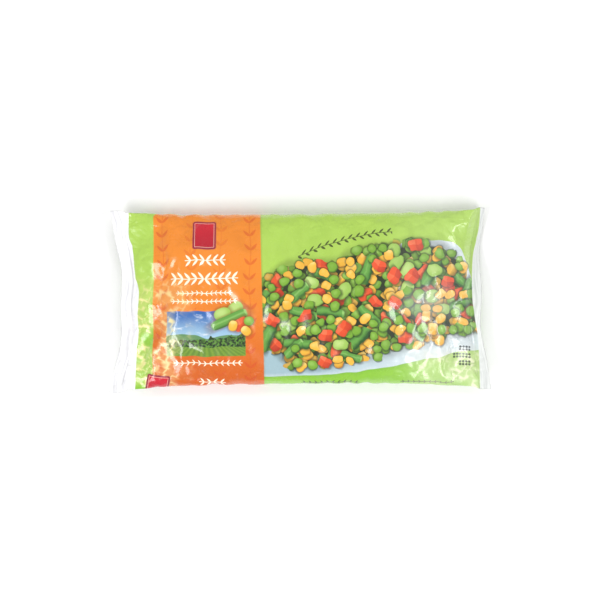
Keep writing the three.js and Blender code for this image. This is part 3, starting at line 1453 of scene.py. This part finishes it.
@dataclass(frozen=True)
class Landscape(Motif):
    """The small landscape: sky, clouds, hills, a hedge and rows of crop."""

    left: float = -127.7
    right: float = -51.9
    low: float = -54.9
    high: float = -10.9
    horizon: float = -38.0
    hill_rise: float = 9.0
    hill_foot: float = 39.0
    hedge_rise: float = 10.0
    hedge_foot: float = 43.5
    hedge_slope: float = 0.04
    crop_rise: float = 4.0
    crop_foot: float = 48.0
    vanishing: tuple[float, float] = (90.0, 30.0)
    row_count: float = 26.0
    sky_low: Tint = ink(160, 197, 222)
    sky_high: Tint = ink(44, 98, 172)
    clouds: Tint = ink(226, 236, 246)
    hills: Tint = ink(96, 142, 92)
    hedge_dark: Tint = ink(28, 52, 24)
    hedge_light: Tint = ink(92, 140, 52)
    crop_light: Tint = ink(125, 160, 54)
    crop_dark: Tint = ink(77, 119, 36)

    def draw(self, sheet: Sheet, under: Union[Tint, Wire]) -> Wire:
        """Draws it from the sky forwards.

        Args:
            sheet: The film to draw on.
            under: The colour beneath.

        Returns:
            The colour with the motif on it.
        """
        g, u, v = sheet.g, sheet.u, sheet.v
        picture = g.mix(g.step(v, self.horizon, self.high), self.sky_low, self.sky_high)
        cloud = g.noise(u, v * 2.6, 13.0, 4.0)
        picture = g.mix(g.step(cloud, 0.56, 0.78), picture, self.clouds)
        hill_top = g.noise(u, 3.0, 24.0, 1.0) * self.hill_rise - self.hill_foot
        picture = g.mix(g.step(hill_top - v, -0.4, 0.4), picture, self.hills)
        hedge_top = g.noise(u, 9.0, 6.0, 3.0) * self.hedge_rise - self.hedge_foot
        hedge_top = hedge_top + (u - self.left) * self.hedge_slope
        leaves = g.noise(u, v, 2.4, 3.0)
        hedge = g.mix(g.step(leaves, 0.42, 0.62), self.hedge_dark, self.hedge_light)
        picture = g.mix(g.cut(hedge_top - v), picture, hedge)
        beside, beyond = self.vanishing
        rows = g.math("SINE", (u + beside) / (v + beyond) * self.row_count) * 0.25 + 0.25
        crop = g.mix(rows + leaves * 0.3, self.crop_light, self.crop_dark)
        crop_top = g.noise(u, 15.0, 20.0, 1.0) * self.crop_rise - self.crop_foot
        picture = g.mix(g.cut(crop_top - v), picture, crop)
        frame_mask = g.least(g.span(u, self.left, self.right), g.span(v, self.low, self.high))
        return g.mix(frame_mask, under, picture)


@dataclass(frozen=True)
class Cluster(Motif):
    """The few vegetables over the landscape's corner."""

    shade: Tint = ink(120, 70, 20)
    pieces: tuple[PlacedPiece, ...] = (
        PlacedPiece(LIMA, (-62.0, -9.0), 0.6),
        PlacedPiece(LIMA, (-74.0, -14.0), 0.35),
        PlacedPiece(LONG_BEAN, (-67.5, -19.5), 0.42),
        PlacedPiece(CARROT, (-56.5, -24.0), 0.5),
        PlacedPiece(PEA, (-48.8, -21.0), 0.0),
        PlacedPiece(CORN, (-64.0, -25.5), 1.4),
        PlacedPiece(CORN, (-51.5, -30.5), 2.4),
    )

    def draw(self, sheet: Sheet, under: Union[Tint, Wire]) -> Wire:
        """Draws each piece and its shade.

        Args:
            sheet: The film to draw on.
            under: The colour beneath.

        Returns:
            The colour with the motif on it.
        """
        g, colour = sheet.g, under
        for piece in self.pieces:
            shape = g.use(
                sheet.effects.piece,
                x=sheet.u - piece.place[0],
                y=sheet.v - piece.place[1],
                turn=piece.turn,
                length=piece.cut.length,
                width=piece.cut.width,
                squareness=piece.cut.squareness,
            )
            colour = g.mix(shape["shadow"] * 0.5, colour, self.shade)
            colour = g.mix(shape["mask"], colour, sheet.vegetable(piece.cut.kind, shape, 0.06))
        return colour


@dataclass(frozen=True)
class Garland(Motif):
    """One row of leaves on a straight stem, which points both ways from its middle."""

    middle: tuple[float, float]
    half: float
    pitch: float
    leaf: float
    tint: Tint = CREAM

    def draw(self, sheet: Sheet, under: Union[Tint, Wire]) -> Wire:
        """Draws the stem and its leaves.

        Args:
            sheet: The film to draw on.
            under: The colour beneath.

        Returns:
            The colour with the motif on it.
        """
        g = sheet.g
        x, off = abs(sheet.u - self.middle[0]), abs(sheet.v - self.middle[1])
        leaf = g.use(
            sheet.effects.leaf,
            x=g.math("MODULO", x, self.pitch) - self.pitch / 2,
            y=off - self.leaf * 0.62,
            turn=0.85,
            length=self.leaf,
            width=self.leaf * 0.26,
        )["mask"]
        drawn = g.most(leaf, g.step(off, 0.55, 0.25))
        return g.mix(g.least(drawn, g.step(x, self.half + 0.3, self.half - 0.3)), under, self.tint)


@dataclass(frozen=True)
class Plaque(Motif):
    """One bare crimson plaque with a plain frame."""

    middle: tuple[float, float]
    turn: float
    half_width: float = 11.1
    half_height: float = 14.2
    corner: float = 2.0
    high: Tint = ink(206, 24, 46)
    low: Tint = ink(178, 12, 38)
    edge: Tint = ink(140, 34, 62)

    def draw(self, sheet: Sheet, under: Union[Tint, Wire]) -> Wire:
        """Draws its shade, its edge, its cream line and its field.

        Args:
            sheet: The film to draw on.
            under: The colour beneath.

        Returns:
            The colour with the motif on it.
        """
        g = sheet.g
        x, y = g.turned(sheet.u - self.middle[0], sheet.v - self.middle[1], self.turn)
        side_x = abs(x) - self.half_width + self.corner
        side_y = abs(y) - self.half_height + self.corner
        out = g.length(g.most(side_x, 0.0), g.most(side_y, 0.0)) + g.least(g.most(side_x, side_y), 0.0)
        field_tint = g.mix(g.step(y, -12.0, 12.0), self.low, self.high)
        field_tint = g.mix(g.step(abs(out - 0.1), 0.32, 0.1) * 0.55, field_tint, CREAM)
        field_tint = g.mix(g.step(out, 0.6, 0.9), field_tint, self.edge)
        colour = g.mix(g.step(out, 3.2, 2.0) * 0.3, under, self.edge)
        return g.mix(g.step(out, 2.15, 1.9), colour, field_tint)


@dataclass(frozen=True)
class PackCode(Motif):
    """Three rows of plain dots."""

    left: float = 147.0
    right: float = 164.4
    low: float = -68.2
    high: float = -45.4
    row_pitch: float = 7.6
    dot_pitch: float = 2.9
    indent_dots: float = 2.0
    tint: Tint = ink(40, 50, 54)

    def draw(self, sheet: Sheet, under: Union[Tint, Wire]) -> Wire:
        """Draws the rows, the outer two indented.

        Args:
            sheet: The film to draw on.
            under: The colour beneath.

        Returns:
            The colour with the motif on it.
        """
        g, u, v = sheet.g, sheet.u, sheet.v
        row = (v - self.low) / self.row_pitch
        in_row = g.math("FRACT", row)
        across = g.math("FRACT", (u - self.left) / self.dot_pitch) - 0.5
        up = g.math("FRACT", in_row * (self.row_pitch / self.dot_pitch)) - 0.5
        dot = g.least(g.step(g.length(across, up), 0.5, 0.34), g.step(in_row, 0.79, 0.75))
        indent = abs(g.math("FLOOR", row) - 1.0) * (self.indent_dots * self.dot_pitch) + self.left
        in_block = g.least(g.span(u, self.left, self.right), g.span(v, self.low, self.high))
        area = g.least(in_block, g.step(u - indent, -0.2, 0.2))
        return g.mix(g.least(dot, area) * 0.85, under, self.tint)


@dataclass(frozen=True)
class ClearEnds:
    """The unprinted film at both ends, with its streaks along the welds."""

    left_edge: Outline = (
        (-181, -160), (-92, -159), (-49, -158), (-32, -156), (-15, -156.7), (6, -155.3), (23, -158.7),
        (55, -162), (71, -165.5), (92, -165.3), (181, -160),
    )
    right_edge: Outline = (
        (-181, 171), (-92, 173.3), (-61, 173), (-14, 168), (15, 166), (57, 170.6), (92, 174), (181, 171),
    )
    plain: Tint = ink(250, 250, 251)
    streak: Tint = ink(232, 232, 236)
    blush: Tint = ink(244, 232, 236)
    grey: Tint = ink(214, 221, 214)
    streak_width: float = 2.8
    wander: float = 6.0

    def mask(self, sheet: Sheet) -> Wire:
        """Returns 1 on the clear ends and 0 on the print."""
        g, u, v = sheet.g, sheet.u, sheet.v
        return g.most(g.cut(g.outline(v, self.left_edge) - u), g.cut(u - g.outline(v, self.right_edge)))

    def streaks(self, sheet: Sheet, from_end: Wire) -> Wire:
        """Returns noise that is drawn out along the ends."""
        wander = sheet.g.noise(sheet.v, 7.0, 26.0, 1.0) * self.wander
        return sheet.g.noise(from_end + wander, sheet.v * 0.04, self.streak_width, 3.0)

    def film(self, sheet: Sheet, from_end: Wire, streaks: Wire, at_right: Wire) -> Wire:
        """Tints the clear film.

        Args:
            sheet: The film.
            from_end: The distance to the nearer cut edge.
            streaks: The noise along the ends.
            at_right: 1 on the right half and 0 on the left.

        Returns:
            The colour.
        """
        g = sheet.g
        film = g.mix(g.step(streaks, 0.42, 0.72), self.plain, self.streak)
        blush = g.noise(from_end * 0.3, sheet.v * 0.06, 3.0, 1.0)
        film = g.mix(g.step(blush, 0.5, 0.8) * 0.35, film, self.blush)
        return g.mix(at_right * 0.5, film, self.grey)


@dataclass(frozen=True)
class PaintedGlare:
    """Painted glare along the creases of the slack film near the lower ends and corners, and a painted
    reflection as a pale veil over the heap.
    """

    # Pale tints that stand in for the film's gloss: painted glare in the lower corners and a painted
    # reflection over the heap.
    glare_right: Tint = ink(255, 250, 222)
    glare_left: Tint = ink(255, 238, 170)
    milk_and_sheen: Tint = ink(226, 234, 234)
    glare_patch_size: float = 24.0
    reflection_middle: tuple[float, float] = (120.0, -4.0)
    left_strength: float = 1.45
    along_creases: float = 0.5
    between_creases: float = 0.14
    corner_strength: float = 0.2
    reflection_reach: tuple[float, float] = (38.0, 14.0)
    reflection_strength: float = 0.2
    sheen_from: tuple[float, float] = (60.0, 130.0)
    sheen_strength: float = 0.06
    front_from: tuple[float, float] = (-125.0, -95.0)
    left_reach: tuple[float, float] = (86.0, 54.0)
    corner_u: tuple[float, float] = (92.0, 124.0)
    corner_v: tuple[float, float] = (-46.0, -60.0)

    def draw(
        self, sheet: Sheet, under: Wire, worn: Wire, from_end: Wire, near_end: Wire, at_right: Wire
    ) -> Wire:
        """Paints glare and a reflection over the print.

        Args:
            sheet: The film.
            under: The print.
            worn: 1 along the creases and 0 between them, where the painted glare gathers.
            from_end: The distance to the nearer cut edge.
            near_end: 1 near the ends and 0 in the middle.
            at_right: 1 on the right half and 0 on the left.

        Returns:
            The print with the painted glare and the painted reflection on it.
        """
        g, u, v = sheet.g, sheet.u, sheet.v
        # Painted glare: pale patches along the creases near the ends, low on the front, strongest on the
        # left.
        lower = g.step(at_right * 66.0 + v, 32.0, -6.0)
        in_front = g.step(v, *self.front_from)
        reach = g.most(near_end, g.step(from_end, *self.left_reach) * (1.0 - at_right))
        glare = g.least(reach, lower, in_front)
        glare_patches = g.step(g.noise(u, v, self.glare_patch_size, 1.0), 0.36, 0.56)
        glare = glare * glare_patches * (worn * self.along_creases + self.between_creases)
        glare = glare * (self.left_strength - at_right * (self.left_strength - 1.0))
        # Painted glare over the lower right corner.
        glare_corner = g.least(g.step(u, *self.corner_u), g.step(v, *self.corner_v), in_front)
        # Painted reflection: a pale veil over the heap's right side, and a fainter one over the right
        # half of the front.
        middle_u, middle_v = self.reflection_middle
        milkiness_and_sheen = g.length((u - middle_u) * 0.75, v - middle_v) + g.noise(u, v, 15.0, 2.0) * 22.0
        milkiness_and_sheen = g.step(milkiness_and_sheen, *self.reflection_reach) * self.reflection_strength
        milkiness_and_sheen = milkiness_and_sheen + g.least(g.step(u, *self.sheen_from), in_front) * self.sheen_strength
        colour = g.mix(milkiness_and_sheen, under, self.milk_and_sheen)
        tint = g.mix(at_right, self.glare_left, self.glare_right)
        return g.mix(glare_corner * self.corner_strength + glare, colour, tint)


@dataclass(frozen=True)
class PrintedFilm:
    """The finish of the film: its print, its clear ends, its gloss and its fine creases, with glare and a
    reflection painted over the print.
    """

    weld: float = 12.0
    rib_pitch: float = 1.7
    rib_height: float = 0.02
    roughness: float = 0.2
    coat: float = 0.8
    coat_roughness: float = 0.08
    slack_reach: tuple[float, float] = (78.0, 26.0)
    left_to_right: tuple[float, float] = (-20.0, 20.0)
    weld_clearness: float = 0.25
    clear_ends: ClearEnds = ClearEnds()
    painted_glare: PaintedGlare = PaintedGlare()
    print_motifs: tuple[Motif, ...] = (
        Ground(),
        Plate(),
        Heap(),
        Spray(),
        Band(),
        Landscape(),
        Cluster(),
        Garland((-90.5, 38.5), 19.5, 6.5, 4.2),
        Garland((-91.5, 20.5), 32.5, 6.5, 4.6),
        Garland((-91.5, 6.5), 27.0, 4.5, 1.9),
        Garland((-91.5, -1.5), 31.5, 4.5, 1.9),
        Garland((-88.0, -62.0), 33.0, 5.5, 2.3),
        Garland((-84.0, -83.5), 13.0, 6.5, 3.4),
        Garland((29.0, -85.0), 28.0, 5.6, 2.2, DARK),
        Garland((122.0, -84.0), 26.0, 5.2, 1.6, DARK),
    )
    crisp_motifs: tuple[Motif, ...] = (
        Plaque((-91.6, 63.4), 0.0),
        Plaque((-137.6, -87.6), -0.14),
        PackCode(),
    )

    def build(self, effects: PrintEffects) -> bpy.types.Material:
        """Draws the print and dresses the film.

        Args:
            effects: The node groups of the print.

        Returns:
            The film's material.
        """
        material, g, shader = fresh_material("printed_film")
        sheet = Sheet(g, effects, *g.split(g.add("ShaderNodeUVMap", uv_map=PRINT_MAP).outputs[0]))
        colour = self._drawn(sheet, CREAM, self.print_motifs)
        from_end = Wire(g, g.add("ShaderNodeAttribute", attribute_name=FROM_END).outputs["Fac"])
        clear = self.clear_ends.mask(sheet)
        streaks = self.clear_ends.streaks(sheet, from_end)
        at_right = g.step(sheet.u, *self.left_to_right)
        film = self.clear_ends.film(sheet, from_end, streaks, at_right)
        near_end = g.step(from_end, *self.slack_reach)
        weld = g.step(from_end, self.weld + 0.4, self.weld - 0.4)
        slack = self._slack(sheet, near_end, weld)
        creases = g.use(effects.crinkle, u=sheet.u, v=sheet.v, amount=slack)
        # Lays painted glare and a painted reflection over the print, under the plaques and the code.
        colour = self.painted_glare.draw(sheet, colour, creases["worn"], from_end, near_end, at_right)
        colour = self._drawn(sheet, colour, self.crisp_motifs)
        g.feed(shader.inputs["Base Color"], g.mix(clear, colour, film))
        g.feed(shader.inputs["Alpha"], 1.0 - weld * g.step(streaks, 0.2, 0.8) * self.weld_clearness)
        matt = g.noise(sheet.u, sheet.v, 18.0, 3.0)
        g.feed(shader.inputs["Roughness"], matt * 0.14 + self.roughness + weld * 0.1)
        shader.inputs["Coat Weight"].default_value = self.coat
        shader.inputs["Coat Roughness"].default_value = self.coat_roughness
        ribs = g.math("SINE", from_end * (2 * math.pi / self.rib_pitch)) * weld * self.rib_height
        g.bump(shader, creases["height"] + ribs)
        return material

    def _drawn(self, sheet: Sheet, under: Union[Tint, Wire], motifs: tuple[Motif, ...]) -> Wire:
        """Draws motifs one on another.

        Args:
            sheet: The film.
            under: The colour beneath them.
            motifs: The motifs, the lowest first.

        Returns:
            The colour with the motifs on it.
        """
        for motif in motifs:
            under = motif.draw(sheet, under)
        return under

    def _slack(self, sheet: Sheet, near_end: Wire, weld: Wire) -> Wire:
        """Tells how slack the film is: most near the ends and along the sides, least above the middle.

        Args:
            sheet: The film.
            near_end: 1 near the ends and 0 in the middle.
            weld: 1 on the welds and 0 elsewhere.

        Returns:
            The slack, from 0 to 1.
        """
        g, v = sheet.g, sheet.v
        flank = g.step(abs(abs(v) - 90.0), 34.0, 8.0)
        taut_above = 1.0 - g.step(v, -30.0, 30.0) * g.step(v, 120.0, 90.0) * 0.5
        return (g.most(near_end * taut_above, flank * 0.6) * 0.9 + 0.1) * (1.0 - weld * 0.5)


@dataclass(frozen=True)
class SeamFilm:
    """The finish of the seam flap: the print's green, clouded white along its cut edge."""

    green: Tint = ink(160, 208, 84)
    milk_and_sheen: Tint = ink(232, 238, 224)
    roughness: float = 0.26
    rib_pitch: float = 1.7
    rib_height: float = 0.05
    slack: float = 0.4
    cut_edge: tuple[float, float] = (12.6, 13.4)
    clear_from: tuple[float, float] = (156.0, 159.0)

    def build(self, effects: PrintEffects) -> bpy.types.Material:
        """Dresses the flap.

        Args:
            effects: The node groups of the print.

        Returns:
            The flap's material.
        """
        material, g, shader = fresh_material("seam_film")
        x, y = (value * (1 / MM) for value in g.split(g.add("ShaderNodeTexCoord").outputs["Object"]))
        streaks = g.noise(x * 0.05, y, 1.6, 3.0)
        cut_edge, ends = g.step(y, *self.cut_edge), g.step(abs(x), *self.clear_from)
        # On the flap this share is only the film's own clouded white along its cut edge and ends; no
        # light is painted here.
        milkiness_and_sheen = g.most(cut_edge, ends, g.step(streaks, 0.55, 0.9) * 0.3)
        g.feed(shader.inputs["Base Color"], g.mix(milkiness_and_sheen, self.green, self.milk_and_sheen))
        g.feed(shader.inputs["Roughness"], streaks * 0.14 + self.roughness)
        creases = g.use(effects.crinkle, u=x, v=y, amount=self.slack)["height"]
        g.bump(shader, creases + g.math("SINE", y * (2 * math.pi / self.rib_pitch)) * self.rib_height)
        return material


@dataclass(frozen=True)
class SoftBox:
    """One soft light that faces the bag, with its height along the bag's width.

    Args:
        name: Its name.
        place: Where it hangs, in metres.
        size: Its width and height.
        power: Its power in watts.
        mirrored: Whether the film's gloss mirrors it.
    """

    name: str
    place: tuple[float, float, float]
    size: tuple[float, float]
    power: float
    mirrored: bool = True

    def build(self) -> None:
        """Hangs the light."""
        light = bpy.data.lights.new(self.name, "AREA")
        light.shape = "RECTANGLE"
        light.size, light.size_y = self.size
        light.energy = self.power
        lamp = bpy.data.objects.new(self.name, light)
        lamp.location = self.place
        lamp.visible_glossy = self.mirrored
        back = Vector(self.place).normalized()
        across = Vector((0, 1, 0)).cross(back).normalized()
        lamp.rotation_euler = Matrix((across, back.cross(across), back)).transposed().to_euler()
        bpy.context.scene.collection.objects.link(lamp)


@dataclass
class Studio:
    """The pale floor, the soft lights and the camera straight above the bag."""

    frame_width: float = 0.579
    outline_height: float = 0.017
    eye_height: float = 2.2
    aim: tuple[float, float] = (-0.0002, 0.0)
    sensor: float = 36.0
    floor_half: float = 8.0
    floor_drop: float = 0.0002
    world_strength: float = 0.44
    lights: tuple[SoftBox, ...] = (
        SoftBox("left strip", (-0.96, -0.62, 1.15), (0.4, 1.1), 11.5),
        SoftBox("right strip", (0.96, -0.6, 1.15), (0.4, 1.1), 11.0),
        SoftBox("top", (0.0, 1.2, 1.9), (1.6, 1.2), 18.0, mirrored=False),
    )

    def build(self) -> None:
        """Builds the studio and sets the view."""
        scene = bpy.context.scene
        scene.view_settings.view_transform = "Standard"
        self._floor()
        self._world(scene)
        for light in self.lights:
            light.build()
        camera = bpy.data.cameras.new("camera")
        camera.sensor_width = self.sensor
        camera.lens = self.sensor * (self.eye_height - self.outline_height) / self.frame_width
        camera.clip_end = 10
        eye = bpy.data.objects.new("camera", camera)
        eye.location = (*self.aim, self.eye_height)
        scene.collection.objects.link(eye)
        scene.camera = eye

    def _floor(self) -> None:
        """Builds the floor with a plain pale finish."""
        bm = bmesh.new()
        bmesh.ops.create_grid(bm, x_segments=1, y_segments=1, size=self.floor_half)
        bmesh.ops.translate(bm, verts=bm.verts, vec=(0, 0, -self.floor_drop))
        mesh = bpy.data.meshes.new("floor")
        bm.to_mesh(mesh)
        bm.free()
        floor = bpy.data.objects.new("floor", mesh)
        bpy.context.scene.collection.objects.link(floor)
        material, g, shader = fresh_material("floor")
        grain = g.noise(*g.split(g.add("ShaderNodeTexCoord").outputs["Object"]), 0.02)
        g.feed(shader.inputs["Base Color"], g.mix(grain * 0.3, ink(250, 250, 250), ink(246, 246, 246)))
        shader.inputs["Roughness"].default_value = 0.8
        mesh.materials.append(material)

    def _world(self, scene: bpy.types.Scene) -> None:
        """Lights the room evenly from all round.

        Args:
            scene: The scene.
        """
        world = bpy.data.worlds.new("studio")
        world.use_nodes = True
        background = world.node_tree.nodes["Background"]
        background.inputs["Color"].default_value = (1.0, 1.0, 1.0, 1.0)
        background.inputs["Strength"].default_value = self.world_strength
        scene.world = world


def main() -> None:
    """Builds the bag and the studio round it."""
    logging.basicConfig(level=logging.INFO, format="%(message)s")
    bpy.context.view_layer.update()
    form = BagForm()
    effects = PrintEffects()
    film = FilmSkin(form).build()
    film.data.materials.append(PrintedFilm().build(effects))
    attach(film, "root")
    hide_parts(NODE)
    log.info("film: %d faces", len(film.data.polygons))
    flap = SeamFlap(form, film).build()
    flap.data.materials.append(SeamFilm().build(effects))
    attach(flap, "root")
    log.info("seam flap: %d faces", len(flap.data.polygons))
    Studio().build()


if __name__ == "__main__":
    main()
